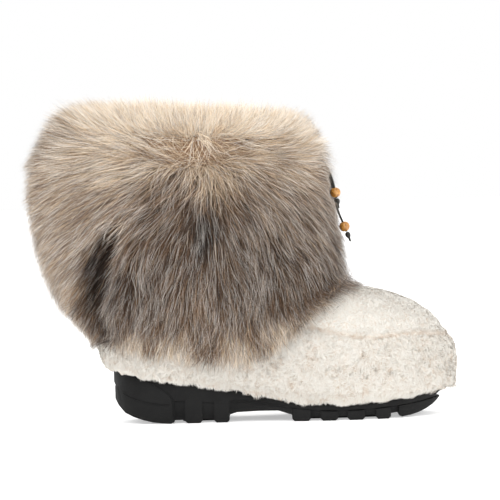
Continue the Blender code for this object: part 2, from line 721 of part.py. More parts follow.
def make_ties():
    """Two cords out of one knot at the front of the cuff, each with a bead held by a stopper knot."""
    made = []
    radius = TIE_KNOT_DIAMETER / 2
    turns = [math.pi * (i + 0.6) / 6.2 for i in range(6)]
    profile = [(radius * math.sin(a), -radius * math.cos(a)) for a in turns]
    made.append(turned("tie_knot", profile, False, Matrix.Translation(TIE_KNOT_AT), "black_cord", sides=10))
    for name, points in (("short_tie", SHORT_TIE), ("long_tie", LONG_TIE)):
        route = smooth_route(points, TIE_POINT_SPACING * CORD_DIAMETER)
        made.append(make_cord(name, route))
        made.append(make_bead(name + "_bead", end_frame(route, BEAD_FROM_END)))
        made.append(make_end_knot(name + "_end_knot", end_frame(route, 0.0)))
    return made


def main():
    for obj in list(bpy.data.objects):
        bpy.data.objects.remove(obj, do_unlink=True)
    pieces = make_outsole() + make_insole() + make_upper() + make_pile() + make_cuff() + make_ties()
    last = bpy.data.objects.new("last_frame", None)
    bpy.context.scene.collection.objects.link(last)
    last.location = (-ORIGIN_FROM_HEEL_END, 0, 0)
    for piece in pieces:
        piece.parent = last


main()
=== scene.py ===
"""Looks of the winter boot: fleece, long fur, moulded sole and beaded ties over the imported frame."""

import math

import bmesh
import bpy
import numpy as np
from mathutils import Matrix, Vector
from mathutils.bvhtree import BVHTree


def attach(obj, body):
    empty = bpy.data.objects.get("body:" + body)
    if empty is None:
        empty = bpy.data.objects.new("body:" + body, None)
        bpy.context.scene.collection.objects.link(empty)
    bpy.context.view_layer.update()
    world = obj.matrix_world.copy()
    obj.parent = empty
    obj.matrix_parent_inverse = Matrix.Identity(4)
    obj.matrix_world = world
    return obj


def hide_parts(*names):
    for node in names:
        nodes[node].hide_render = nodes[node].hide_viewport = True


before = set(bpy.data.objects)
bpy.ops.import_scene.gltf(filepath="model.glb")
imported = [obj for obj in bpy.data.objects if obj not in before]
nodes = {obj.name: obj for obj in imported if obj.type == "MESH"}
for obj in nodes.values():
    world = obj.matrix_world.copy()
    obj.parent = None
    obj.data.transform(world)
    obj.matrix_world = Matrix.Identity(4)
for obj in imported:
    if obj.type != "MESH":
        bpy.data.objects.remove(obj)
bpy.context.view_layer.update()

# The last's own frame starts at the back end of the sole
ORIGIN_FROM_HEEL_END = 0.066
SEED = 20

# The photograph's camera
VIEW_CENTRE = (0.0496, 0.0, 0.1390)
VIEW_WIDTH = 0.413
CAMERA_DISTANCE = 2.6
CAMERA_ELEVATION = 1.5
CAMERA_ROLL = 1.67

# Size of the cuff, and how deep its skin lies under the coat's outside, in the middle and at the hem
CUFF_WIDTH = 0.198
CUFF_BACK_REACH = 0.068
CUFF_FRONT_REACH = 0.191
COLLAR_HEIGHT = 0.245
FUR_INSET = 0.015
FUR_HEM_INSET = 0.0045

# Hairs of the cuff
GUARD_HAIRS = 74000
UNDER_HAIRS = 39600
RIM_HAIRS = 14000
CLUMP_SPACING = 0.0062

# The whorl and the slit: place along and up the boot, and how far they reach
WHORL = (0.078, 0.236)
WHORL_REACH = 0.031
SLIT = (0.080, 0.163)
SLIT_REACH = (0.005, 0.018)

# The cleft beside the back flap, by (up, along) of its two ends, and the fold under the crest
CLEFT = ((0.10, 0.09), (0.42, 0.27))
CLEFT_DEPTH = 0.016
CLEFT_HALF_WIDTH = 0.028
CLEFT_SPAN = (0.02, 0.52)
FOLD_DEPTH = 0.005
FOLD_HALF_WIDTH = 0.045

# The crest: how far the skin drops under it, and how deep its ground ends inside the collar
RIM_DROP = 0.0125
RIM_LENGTH = 0.0195
COLLAR_TUCK = 0.004

# The hem: hairs there stand off by HEM_STAND and are laid on the fleece, HEM_CLEAR above it, where they
# are less than HEM_SEARCH under it. The ground sinks into the fleece by HEM_SINK.
HEM_STAND = 0.85
HEM_SEARCH = 0.014
HEM_CLEAR = 0.0028
HEM_SINK = 0.008

# Pile of the fleece, and how far over it the pieces reach that hide it
FLEECE_STRANDS = 91000
FLEECE_LENGTH = 0.0042
FLEECE_WIDTH = 0.00046
FLEECE_INSET = 0.0022
FOLD_BETWEEN_CURLS = 0.0028
CURL_SPACING = 0.0034
COVERS = (("fur_cuff", 0.03), ("upper", 0.012), ("outsole", 0.006))

# Ties: diameter and routes of the two cords, in the last's frame
CORD_DIAMETER = 0.0018
SHORT_TIE = ((0.1776, -0.00205, 0.21035), (0.1806, -0.0036, 0.2052), (0.1832, -0.0048, 0.2000),
             (0.1850, -0.0054, 0.1950), (0.1862, -0.0057, 0.1900), (0.18715, -0.00585, 0.1850),
             (0.1881, -0.0060, 0.1800))
LONG_TIE = ((0.1776, 0.00205, 0.21035), (0.1812, 0.0034, 0.2040), (0.1838, 0.0046, 0.1960),
            (0.1856, 0.0053, 0.1870), (0.1872, 0.0058, 0.1780), (0.1894, 0.0060, 0.1690),
            (0.1918, 0.0061, 0.1625), (0.1940, 0.0061, 0.1572), (0.1960, 0.0060, 0.1518))

# How far the hairs keep behind the cords, and behind the beads and end knots
CORD_CLEAR = 0.0034
TIE_PIECES_CLEAR = ((SHORT_TIE[-2], 0.0066), (LONG_TIE[-2], 0.0070), (SHORT_TIE[-1], 0.0050),
                    ((0.1985, 0.006, 0.1475), 0.0052))

# Outside of the cuff. up: from hem to crest, then over the rim. back, front: shares of the back and front
# reach. heel, toe: heights as shares of the collar height. width: share of the cuff's width. sag: how far
# the sides hang below the ends, as a share of the collar height.
CUFF_FORM = np.array([
    # up    back    front   heel   toe    width  sag
    (0.00, 0.250, 0.990, 0.330, 0.455, 0.66, 0.085),
    (0.14, 0.640, 1.020, 0.430, 0.490, 0.80, 0.060),
    (0.28, 0.820, 1.015, 0.540, 0.550, 0.92, 0.030),
    (0.42, 0.945, 1.005, 0.660, 0.620, 0.99, 0.000),
    (0.57, 1.000, 0.990, 0.790, 0.730, 1.00, -0.010),
    (0.71, 0.960, 0.965, 0.895, 0.830, 0.98, -0.015),
    (0.84, 0.740, 0.925, 0.985, 0.920, 0.92, -0.018),
    (0.93, 0.460, 0.865, 1.040, 0.985, 0.82, -0.016),
    (1.00, 0.200, 0.800, 1.072, 1.035, 0.69, -0.014),
    (1.08, 0.140, 0.785, 1.080, 1.040, 0.635, 0.000),
    (1.16, 0.090, 0.770, 1.030, 1.000, 0.605, 0.000),
])

# Hem of the cuff over the fleece, from back to front in mm: place, half width on the inner side, on the
# outer side, height. A scratch script printed these rows from part.py's hem, and the last three were then
# changed by hand. They don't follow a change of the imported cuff.
CUFF_HEM = np.array([
    # along    x      inner  outer  z
    (0.0000, -20.9, 0.0, 0.0, 72.1),
    (0.0170, -16.8, 19.8, 19.8, 71.8),
    (0.0670, -5.7, 36.5, 36.5, 70.6),
    (0.1464, 11.0, 49.0, 49.0, 68.1),
    (0.2500, 34.3, 56.1, 56.1, 64.4),
    (0.3706, 60.7, 55.8, 56.7, 59.1),
    (0.5000, 88.0, 54.8, 57.3, 54.0),
    (0.6294, 112.0, 56.2, 60.0, 56.3),
    (0.7500, 135.4, 59.9, 63.6, 65.2),
    (0.8536, 161.2, 60.8, 62.0, 85.2),
    (0.9330, 180.5, 52.0, 50.0, 105.0),
    (0.9830, 191.5, 25.1, 22.4, 114.0),
    (1.0000, 195.5, 0.0, 0.0, 112.0),
])

# Apron seam of the fleece: height along the foot in mm, and how wide its groove is
SEAM = np.array([(165.0, 76.0), (176.0, 72.8), (213.0, 66.5), (246.0, 68.5), (271.0, 66.0), (290.0, 65.0)])
SEAM_HALF_WIDTH = 1.6

# Where the fleece ends over the sole: height along the foot in mm
FLEECE_HEM = np.array([
    (0.0, 46.0), (9.0, 44.0), (22.0, 37.5), (46.0, 34.0), (65.0, 28.5), (84.0, 26.0), (104.0, 20.5),
    (125.0, 18.5), (157.0, 13.0), (186.0, 13.0), (217.0, 14.5), (240.0, 15.5), (256.0, 17.5), (270.0, 17.5),
])

# Raised lines on both sides of the sole, as places along and up it in mm, and how thick they are
SOLE_LINES = (
    ((20.0, 36.5), (28.0, 34.6), (36.0, 31.0), (43.5, 26.2), (48.6, 20.5), (49.8, 14.0), (49.8, 8.0),
     (49.6, 4.2)),
    ((98.0, 17.2), (106.0, 16.8), (114.0, 16.4), (122.0, 15.6), (131.0, 14.0), (140.0, 12.6)),
    ((4.0, 27.0), (12.0, 22.6), (22.0, 19.0), (33.0, 16.6), (46.0, 15.2)),
)
SOLE_LINE_RADIUS = 0.00055

# Tone of the fur by place, in the last's frame in mm as seen from the side, with painted shade in a few
# spots. tone: 0 dark to 1 pale.
# warm: 0 grey to 1 tan. weight and reach say how strongly and how far a spot counts.
FUR_SPOTS = np.array([
    # x     z     tone  warm  weight reach
    (-30, 262, 0.52, 0.85, 1.0, 16),
    (-45, 240, 0.56, 0.75, 1.0, 16),
    (5, 264, 0.88, 0.75, 1.0, 24),
    (40, 262, 0.92, 0.80, 1.4, 24),
    (85, 258, 0.92, 0.85, 1.4, 24),
    (130, 252, 0.92, 0.80, 1.4, 24),
    (155, 240, 0.88, 0.70, 1.0, 18),
    (-20, 222, 0.72, 0.65, 1.0, 22),
    (15, 232, 0.84, 0.70, 1.0, 22),
    (-55, 205, 0.60, 0.55, 1.0, 18),
    # painted shade: the darker tan at the whorl, in the fold under the crest
    (80, 236, 0.74, 0.95, 1.0, 16),
    (34, 213, 0.72, 0.65, 1.0, 16),
    (95, 215, 0.68, 0.80, 1.0, 16),
    (140, 215, 0.58, 0.75, 1.0, 22),
    (170, 205, 0.50, 0.65, 1.0, 18),
    (0, 190, 0.56, 0.45, 1.0, 20),
    (-45, 170, 0.58, 0.45, 1.0, 20),
    (-35, 120, 0.60, 0.55, 1.0, 20),
    # painted shade: the dark spots along and beside the cleft by the back flap
    (6, 148, 0.50, 0.45, 1.4, 7),
    (3, 134, 0.10, 0.70, 2.4, 8),
    (-4, 114, 0.16, 0.70, 2.0, 7),
    (-12, 92, 0.26, 0.60, 1.4, 6),
    (29, 129, 0.12, 0.70, 1.3, 12),
    (27, 108, 0.14, 0.70, 1.3, 12),
    # painted shade: the near-black spots at the slit where the coat opens
    (80, 163, 0.02, 0.40, 3.0, 7),
    (64, 178, 0.16, 0.50, 1.6, 8),
    (60, 180, 0.36, 0.40, 1.0, 20),
    (90, 168, 0.22, 0.40, 1.2, 14),
    (96, 190, 0.28, 0.55, 1.0, 12),
    (130, 190, 0.50, 0.60, 1.0, 12),
    (30, 150, 0.26, 0.60, 1.2, 12),
    (130, 175, 0.36, 0.40, 1.0, 22),
    (170, 170, 0.46, 0.30, 1.0, 18),
    (60, 140, 0.24, 0.60, 1.0, 22),
    (110, 130, 0.22, 0.60, 1.0, 22),
    (150, 130, 0.20, 0.60, 1.2, 20),
    (182, 140, 0.30, 0.45, 1.0, 16),
    (30, 92, 0.26, 0.75, 1.0, 18),
    (80, 92, 0.26, 0.75, 1.0, 20),
    (120, 100, 0.26, 0.65, 1.0, 18),
    (160, 110, 0.28, 0.55, 1.0, 16),
    (20, 74, 0.86, 0.60, 1.6, 8),
    (60, 69, 0.84, 0.55, 1.6, 8),
    (100, 70, 0.82, 0.50, 1.6, 8),
    (135, 80, 0.80, 0.45, 1.6, 8),
    (165, 94, 0.82, 0.40, 1.4, 8),
    (192, 112, 0.62, 0.35, 1.0, 9),
])

# How the fur lies by place, in the last's frame in mm as seen from the outer side. Most places were picked by
# eye in pixels of the photograph, and a scratch script turned them into mm. way: the angle in degrees
# that the hairs point, 0 to the toe and 90 up. stand: how far they stand off the skin, in radians. length:
# their length as a share of the layer's.
FLOW_SPOTS = np.array([
    # x     z    way  stand length reach
    (-26, 259, 126, 0.85, 1.10, 16),
    (-45, 243, 152, 0.42, 0.58, 18),
    (-54, 216, 180, 0.42, 0.62, 18),
    (-57, 187, 200, 0.28, 0.70, 20),
    (-49, 154, 214, 0.22, 0.85, 20),
    (-39, 116, 232, 0.15, 0.92, 20),
    (-22, 83, 243, 0.10, 0.90, 18),
    (3, 258, 112, 0.95, 0.74, 18),
    (36, 259, 100, 1.05, 0.60, 20),
    (74, 256, 90, 1.10, 0.56, 20),
    (111, 252, 84, 1.10, 0.56, 20),
    (144, 246, 62, 0.95, 0.62, 18),
    (170, 232, 30, 0.60, 0.70, 16),
    (-18, 227, 186, 0.30, 0.90, 18),
    (-19, 202, 203, 0.18, 0.95, 18),
    (-16, 173, 217, 0.12, 1.00, 18),
    (-15, 136, 232, 0.08, 1.00, 16),
    (-19, 103, 241, 0.05, 1.00, 14),
    (15, 235, 178, 0.40, 0.82, 16),
    (18, 210, 205, 0.15, 0.95, 18),
    (18, 185, 218, 0.10, 1.00, 18),
    (14, 156, 233, 0.08, 1.00, 14),
    (18, 123, 251, 0.05, 1.00, 14),
    (11, 82, 256, 0.00, 1.00, 16),
    (48, 237, 165, 0.75, 0.80, 12),
    (66, 243, 120, 0.90, 0.75, 9),
    (98, 241, 60, 0.90, 0.75, 9),
    (50, 215, 222, 0.20, 0.90, 14),
    (49, 192, 230, 0.10, 1.00, 16),
    (49, 163, 242, 0.10, 1.00, 18),
    (45, 126, 256, 0.05, 1.00, 18),
    (40, 81, 262, 0.00, 1.00, 20),
    (83, 223, 264, 0.40, 0.80, 10),
    (78, 196, 246, 0.15, 0.95, 12),
    (72, 171, 248, 0.10, 1.00, 10),
    (93, 170, 284, 0.10, 1.00, 10),
    (78, 138, 268, 0.05, 1.00, 16),
    (77, 84, 268, 0.00, 1.00, 20),
    (106, 227, 330, 0.50, 0.75, 12),
    (109, 199, 292, 0.15, 0.95, 16),
    (112, 157, 280, 0.10, 1.00, 18),
    (113, 108, 274, 0.05, 1.00, 20),
    (109, 62, 272, 0.00, 1.00, 18),
    (135, 226, 342, 0.40, 0.80, 14),
    (144, 202, 312, 0.15, 0.90, 16),
    (149, 164, 300, 0.10, 0.95, 18),
    (150, 123, 290, 0.05, 1.00, 18),
    (145, 74, 280, 0.00, 1.00, 18),
    (169, 209, 325, 0.22, 0.80, 14),
    (179, 180, 312, 0.15, 0.80, 16),
    (182, 147, 302, 0.12, 0.85, 16),
    (177, 110, 304, 0.12, 0.95, 16),
    (168, 77, 300, 0.08, 0.95, 16),
])

rng = np.random.default_rng(SEED)


# Smooth tables


def smooth(places, values, at):
    """A cubic through the points (places, values) that never overshoots, read at the places in at."""
    at = np.clip(np.asarray(at, float), places[0], places[-1])
    step = np.diff(places)
    slope = np.diff(values) / step
    tangent = np.zeros(len(places))
    same = slope[:-1] * slope[1:] > 0
    mean = 2 * slope[:-1] * slope[1:] / np.where(same, slope[:-1] + slope[1:], 1)
    tangent[1:-1] = np.where(same, mean, 0)
    tangent[0], tangent[-1] = slope[0], slope[-1]
    cell = np.clip(np.searchsorted(places, at, side="right") - 1, 0, len(step) - 1)
    width = step[cell]
    part = (at - places[cell]) / width
    rest = 1 - part
    ends = values[cell] * (1 + 2 * part) * rest**2 + values[cell + 1] * (3 - 2 * part) * part**2
    return ends + width * part * rest * (tangent[cell] * rest - tangent[cell + 1] * part)


def column(table, index, at):
    return smooth(table[:, 0], table[:, index], at)


def rise(start, end, at):
    """0 before start, 1 after end, and a soft step between them."""
    share = np.clip((np.asarray(at, float) - start) / (end - start), 0, 1)
    return share * share * (3 - 2 * share)


def unit(vectors):
    return vectors / np.maximum(np.linalg.norm(vectors, axis=-1, keepdims=True), 1e-12)


def to_world(points):
    return np.asarray(points, float) - (ORIGIN_FROM_HEEL_END, 0, 0)


# Nodes of materials


def new_material(name):
    made = bpy.data.materials.new(name)
    made.use_nodes = True
    tree = made.node_tree
    return made, tree, tree.nodes["Principled BSDF"]


def add_node(tree, kind, links=(), **values):
    """Adds a node. links are (input, socket) pairs, values set attributes or inputs by name."""
    node = tree.nodes.new(kind)
    for key, value in values.items():
        if hasattr(node, key):
            setattr(node, key, value)
        else:
            node.inputs[key.replace("_", " ")].default_value = value
    for name, socket in links:
        tree.links.new(socket, node.inputs[name])
    return node


def add_ramp(tree, factor, stops):
    node = tree.nodes.new("ShaderNodeValToRGB")
    ramp = node.color_ramp
    while len(ramp.elements) < len(stops):
        ramp.elements.new(0.5)
    for element, (place, colour) in zip(ramp.elements, stops):
        element.position = place
        element.color = (*colour, 1.0)
    tree.links.new(factor, node.inputs["Fac"])
    return node.outputs["Color"]


def linear(code):
    """A colour written as six hex digits, as linear values."""
    shares = [int(code[i:i + 2], 16) / 255 for i in (0, 2, 4)]
    return tuple(s / 12.92 if s <= 0.04045 else ((s + 0.055) / 1.055) ** 2.4 for s in shares)


def add_noise(tree, place, scale, detail=4.0, rough=0.55, warp=0.0):
    node = tree.nodes.new("ShaderNodeTexNoise")
    node.inputs["Scale"].default_value = scale
    node.inputs["Detail"].default_value = detail
    node.inputs["Roughness"].default_value = rough
    node.inputs["Distortion"].default_value = warp
    tree.links.new(place, node.inputs["Vector"])
    return node.outputs["Fac"]


def add_bump(tree, shader, height, distance, strength=1.0):
    node = tree.nodes.new("ShaderNodeBump")
    node.inputs["Distance"].default_value = distance
    node.inputs["Strength"].default_value = strength
    tree.links.new(height, node.inputs["Height"])
    tree.links.new(node.outputs["Normal"], shader.inputs["Normal"])


def object_place(tree):
    return tree.nodes.new("ShaderNodeTexCoord").outputs["Object"]


def mixed(tree, factor, one, two):
    node = tree.nodes.new("ShaderNodeMix")
    node.data_type = "RGBA"
    if isinstance(factor, float):
        node.inputs["Factor"].default_value = factor
    else:
        tree.links.new(factor, node.inputs["Factor"])
    for name, value in (("A", one), ("B", two)):
        socket = [s for s in node.inputs if s.name == name and s.type == "RGBA"][0]
        if isinstance(value, tuple):
            socket.default_value = (*value, 1.0)
        else:
            tree.links.new(value, socket)
    return [s for s in node.outputs if s.type == "RGBA"][0]


def hair_material(name, palette, shade, tip, tip_share, roughness):
    """Hair whose colour runs along it (map x) by shade and tip, and from hair to hair (map y) by palette. The
    shade ramp darkens the root end: painted shade, and in the fur partly its own darker base.
    """
    made, tree, shader = new_material(name)
    place = add_node(tree, "ShaderNodeUVMap", uv_map="OFBake").outputs["UV"]
    split = add_node(tree, "ShaderNodeSeparateXYZ", links=[("Vector", place)])
    along, tone = split.outputs["X"], split.outputs["Y"]
    body = add_ramp(tree, tone, palette)
    band = add_ramp(tree, along, [(p, (v, v, v)) for p, v in shade])
    dark = tree.nodes.new("ShaderNodeMix")
    dark.data_type = "RGBA"
    dark.blend_type = "MULTIPLY"
    dark.inputs["Factor"].default_value = 1.0
    inputs = [s for s in dark.inputs if s.type == "RGBA"]
    tree.links.new(body, inputs[0])
    tree.links.new(band, inputs[1])
    shaded = [s for s in dark.outputs if s.type == "RGBA"][0]
    share = add_ramp(tree, along, [(p, (v, v, v)) for p, v in tip_share])
    colour = mixed(tree, share, shaded, tip)
    tree.links.new(colour, shader.inputs["Base Color"])
    shader.inputs["Roughness"].default_value = roughness
    shader.inputs["Specular IOR Level"].default_value = 0.25
    shader.inputs["Sheen Weight"].default_value = 0.15
    shader.inputs["Sheen Roughness"].default_value = 0.5
    return made


# Strands as ribbons


def sample_share(weights, count):
    """Evenly spread picks from a list by weight."""
    total = np.cumsum(weights)
    at = (np.arange(count) + rng.random(count)) / count * total[-1]
    return np.searchsorted(total, at)


def clumped(paths, spacing, pull):
    """Draws each path towards that of a neighbour that leads its clump, more so towards the tip.

    Gives the paths and the number of each one's clump.
    """
    roots = paths[:, 0] + rng.normal(0, spacing * 0.25, paths[:, 0].shape)
    cells = np.floor(roots / spacing).astype(np.int64)
    key = cells[:, 0] * 73856093 ^ cells[:, 1] * 19349663 ^ cells[:, 2] * 83492791
    _, first, group = np.unique(key, return_index=True, return_inverse=True)
    lead = paths[first[group.ravel()]]
    count = paths.shape[1]
    share = (np.arange(count) / (count - 1)) ** 1.4
    offset = paths[:, :1] - lead[:, :1]
    target = lead + offset * (1 - 0.75 * share[None, :, None])
    amount = (pull if np.ndim(pull) == 0 else np.asarray(pull)[:, None, None]) * share[None, :, None]
    return paths + (target - paths) * amount, group.ravel()


def ribbon_object(name, paths, facing, width, tone, material, taper=0.0, skip=0.0, turned=0.35,
                  squared=1.0, spin=0.55):
    """One mesh of flat strands: paths has the points of each, facing the way that each turns its face.

    skip is the share of the map that a strand leaves out at its dark root, which is painted shade and in the
    fur partly its own darker base. turned is how much the strands' shading varies, and squared is 1 where it
    stands square on the strand, 0 where it keeps to facing. spin is how much they are rolled about
    themselves.
    """
    count, points, _ = paths.shape
    tangent = unit(paths[:, -1] - paths[:, 0])
    side = unit(np.cross(tangent, facing))
    roll = rng.normal(0, spin, count)[:, None]
    side = unit(side * np.cos(roll) + unit(np.cross(side, tangent)) * np.sin(roll))
    along = np.arange(points) / (points - 1)
    swell = np.clip(1 - along**2.2 * (1 - taper), 0.05, 1)
    half = np.asarray(width)[:, None] / 2 * swell[None, :]
    left = paths[:, :-1] - side[:, None] * half[:, :-1, None]
    right = paths[:, :-1] + side[:, None] * half[:, :-1, None]
    per = 2 * (points - 1) + 1
    verts = np.empty((count, per, 3))
    verts[:, 0:-1:2] = left
    verts[:, 1:-1:2] = right
    verts[:, -1] = paths[:, -1]
    quads = points - 2
    base = (np.arange(count) * per)[:, None]
    loops = []
    for k in range(quads):
        loops.append(base + np.array([2 * k, 2 * k + 1, 2 * k + 3, 2 * k + 2]))
    loops.append(base + np.array([per - 3, per - 2, per - 1]))
    corners = np.concatenate(loops, 1)
    sizes = np.tile([4] * quads + [3], count)
    mesh = bpy.data.meshes.new(name)
    mesh.vertices.add(count * per)
    mesh.vertices.foreach_set("co", verts.reshape(-1).astype(np.float32))
    mesh.loops.add(corners.size)
    mesh.loops.foreach_set("vertex_index", corners.reshape(-1).astype(np.int32))
    mesh.polygons.add(len(sizes))
    starts = np.concatenate([[0], np.cumsum(sizes)[:-1]])
    mesh.polygons.foreach_set("loop_start", starts.astype(np.int32))
    mesh.polygons.foreach_set("use_smooth", np.ones(len(sizes), bool))
    mesh.update(calc_edges=True)
    # The map: along the strand from left to right, tone from bottom to top
    u = np.empty((count, per))
    v = np.empty((count, per))
    skip = np.broadcast_to(skip, count)[:, None]
    u[:, 0:-1:2] = 0.02 + 0.96 * (skip + (1 - skip) * along[:-1])
    u[:, 1:-1:2] = u[:, 0:-1:2]
    u[:, -1] = 0.98
    row = np.clip(tone, 0.02, 0.98)[:, None]
    v[:, 0:-1:2] = row - 0.004
    v[:, 1:-1:2] = row + 0.004
    v[:, -1] = row[:, 0]
    layer = mesh.uv_layers.new(name="OFBake")
    place = np.stack([u, v], -1).reshape(-1, 2)[corners.reshape(-1)]
    layer.data.foreach_set("uv", place.reshape(-1).astype(np.float32))
    # Shading follows the coat's surface, with a little of the strand's own turn
    coat = unit(facing - squared * tangent * np.sum(facing * tangent, 1, keepdims=True))
    normal = unit(coat + side * rng.normal(0, turned, (count, 1)))
    normals = np.repeat(normal, per, 0)
    mesh.validate()
    mesh.normals_split_custom_set_from_vertices(normals.astype(np.float32))
    mesh.materials.append(material)
    made = bpy.data.objects.new(name, mesh)
    bpy.context.scene.collection.objects.link(made)
    return made


def grown(roots, normals, flow, length, lift, settle, bend=1.0, points=4):
    """Paths that leave the skin at the angle lift and lie down along flow at the angle settle."""
    steps = points - 1
    paths = [roots]
    for k in range(steps):
        at = (k + 0.5) / steps
        angle = lift * (1 - at) ** bend + settle * (1 - (1 - at) ** bend)
        way = normals * np.sin(angle)[:, None] + flow * np.cos(angle)[:, None]
        paths.append(paths[-1] + way * (length / steps)[:, None])
    return np.stack(paths, 1)


# The fur cuff


def cleft_depth(up, along):
    """The troughs beside the back flap and under the fold at the top, at that place on the cuff."""
    (low, low_along), (high, high_along) = CLEFT
    line = low_along + (high_along - low_along) * (up - low) / (high - low)
    fade = rise(CLEFT_SPAN[0], CLEFT_SPAN[0] + 0.1, up) * (1 - rise(CLEFT_SPAN[1] - 0.15, CLEFT_SPAN[1], up))
    trough = CLEFT_DEPTH * fade * np.exp(-(((along - line) / CLEFT_HALF_WIDTH) ** 2))
    level = 0.80 + 0.03 * np.sin(along * 9)
    span = rise(0.25, 0.45, along) * (1 - rise(0.80, 0.97, along))
    return trough + FOLD_DEPTH * span * np.exp(-(((up - level) / FOLD_HALF_WIDTH) ** 2))


def cuff_place(up, angle):
    """A point on the smooth outside of the cuff, in the last's frame."""
    along = (1 - np.cos(angle)) / 2
    back, front, heel, toe, width, sag = (column(CUFF_FORM, i, up) for i in range(1, 7))
    x = -back * CUFF_BACK_REACH + (front * CUFF_FRONT_REACH + back * CUFF_BACK_REACH) * along
    y = width * CUFF_WIDTH / 2 * np.sin(angle)
    z = (heel + (toe - heel) * along - sag * 4 * along * (1 - along)) * COLLAR_HEIGHT
    form = np.stack([x, y, z], -1)
    shift = np.abs(np.sin(angle))
    inner = smooth(CUFF_HEM[:, 0], CUFF_HEM[:, 2], along)
    outer = -smooth(CUFF_HEM[:, 0], CUFF_HEM[:, 3], along)
    hem = np.stack([
        smooth(CUFF_HEM[:, 0], CUFF_HEM[:, 1], along),
        np.where(np.sin(angle) > 0, inner, outer) * np.where(shift < 1e-6, 0, 1),
        smooth(CUFF_HEM[:, 0], CUFF_HEM[:, 4], along),
    ], -1) / 1000
    near = ((1 - rise(0.0, 0.22, up)) ** 1.5)[..., None]
    outward = np.stack([-np.cos(angle), np.sin(angle), np.zeros_like(angle)], -1)
    return form + (hem - form) * near - outward * cleft_depth(up, along)[..., None]


def cuff_frame(up, angle):
    """Place, outward normal and upward direction on the cuff."""
    step = 1e-3
    place = cuff_place(up, angle)
    upward = cuff_place(up + step, angle) - cuff_place(up - step, angle)
    onward = cuff_place(up, angle + step) - cuff_place(up, angle - step)
    area = np.linalg.norm(np.cross(upward, onward), axis=-1)
    return place, unit(np.cross(upward, onward)), unit(upward), area


def fur_root(place, normal, up):
    """The skin under a place of the coat's outside: below it on the sides, straight down at the crest."""
    inset = FUR_HEM_INSET + (FUR_INSET - FUR_HEM_INSET) * rise(0.0, 0.26, up)
    crest = rise(0.80, 1.0, up)[:, None]
    inward = normal * (1 - crest) * inset[:, None]
    return place - inward - np.array([0.0, 0.0, RIM_DROP]) * crest


def seen_from_side(place, seed):
    """Places along and up the boot in mm, shifted a little so that the borders of the coat wander."""
    x = place[:, 0] * 1000 + 3.5 * noise_at(place, 130, seed)
    return x, place[:, 2] * 1000 + 3.5 * noise_at(place, 130, seed + 1)


def fur_flow(place, normal):
    """The way the fur lies on the skin, how far it stands off it and how long it is."""
    spots = FLOW_SPOTS
    x, z = seen_from_side(place, 51)
    gap = ((x[:, None] - spots[:, 0]) ** 2 + (z[:, None] - spots[:, 1]) ** 2) / spots[:, 5] ** 2
    weight = np.exp(-gap * 0.8) + 1e-6 / (1 + gap)
    weight /= weight.sum(1, keepdims=True)
    angle = np.radians(spots[:, 2])
    way = np.stack([weight @ np.cos(angle), np.zeros(len(place)), weight @ np.sin(angle)], 1)
    way = unit(way)
    way -= normal * np.sum(way * normal, 1, keepdims=True)
    return unit(way), weight @ spots[:, 3], weight @ spots[:, 4]


def in_slit(place):
    """1 in the short dark slit of the outer side, where the coat opens, and 0 away from it."""
    x, z = (place[:, 0] - SLIT[0]) / SLIT_REACH[0], (place[:, 2] - SLIT[1]) / SLIT_REACH[1]
    return np.exp(-(x**2) - z**2) * (place[:, 1] < 0)


def fur_tone(place):
    """Tone and warmth of the coat at a place, with painted shade in the cleft, at the slit and in the fold
    under the crest.
    """
    x, z = seen_from_side(place, 61)
    gap = ((x[:, None] - FUR_SPOTS[:, 0]) ** 2 + (z[:, None] - FUR_SPOTS[:, 1]) ** 2) / FUR_SPOTS[:, 5] ** 2
    weight = FUR_SPOTS[:, 4] * np.exp(-gap) + 1e-5 / (1 + gap)
    weight /= weight.sum(1, keepdims=True)
    return weight @ FUR_SPOTS[:, 2], weight @ FUR_SPOTS[:, 3]


def fur_roots(count, low=0.03, high=1.10):
    """Even places over the cuff."""
    up = low + (high - low) * rng.random(count * 4)
    angle = 2 * np.pi * rng.random(count * 4)
    pick = sample_share(cuff_frame(up, angle)[3], count)
    return up[pick], angle[pick]


def clear_of_ties(paths):
    """Combs the hairs back from before the beads and cords, which hang over the coat."""
    spots = [(place, CORD_CLEAR) for route in (SHORT_TIE, LONG_TIE) for place in route if place[2] < 0.196]
    for (x, y, z), reach in (*spots, *TIE_PIECES_CLEAR):
        rise_by = paths[..., 2] - z
        hold = np.sqrt(np.clip(reach**2 - rise_by**2, 0, None))
        limit = x - hold
        inside = (hold > 0) & (paths[..., 1] < y + 0.004) & (paths[..., 0] > limit) & (paths[..., 0] > 0.15)
        paths[..., 0] = np.where(inside, limit, paths[..., 0])
    return paths


def over_fleece(paths, normal, near):
    """Lays the hairs of the hem on the fleece, so that their ends hang over it. paths: world points."""
    fleece = tree_of(nodes["foot_fleece"])
    for i in np.flatnonzero(near):
        way = Vector(normal[i])
        for k in range(1, paths.shape[1]):
            start = Vector(paths[i, k]) + way * HEM_SEARCH
            hit = fleece.ray_cast(start, -way, HEM_SEARCH + HEM_CLEAR)[0]
            if hit is not None:
                paths[i, k] = hit + way * HEM_CLEAR * rng.uniform(0.3, 1.2)
    return paths


def map_row(tone, warm):
    """Row of the hair map: greys in the lower half, tans in the upper."""
    warm_side = rng.random(len(tone)) < np.clip(warm, 0, 1)
    return np.where(warm_side, 0.52 + 0.46 * tone, 0.02 + 0.46 * tone)


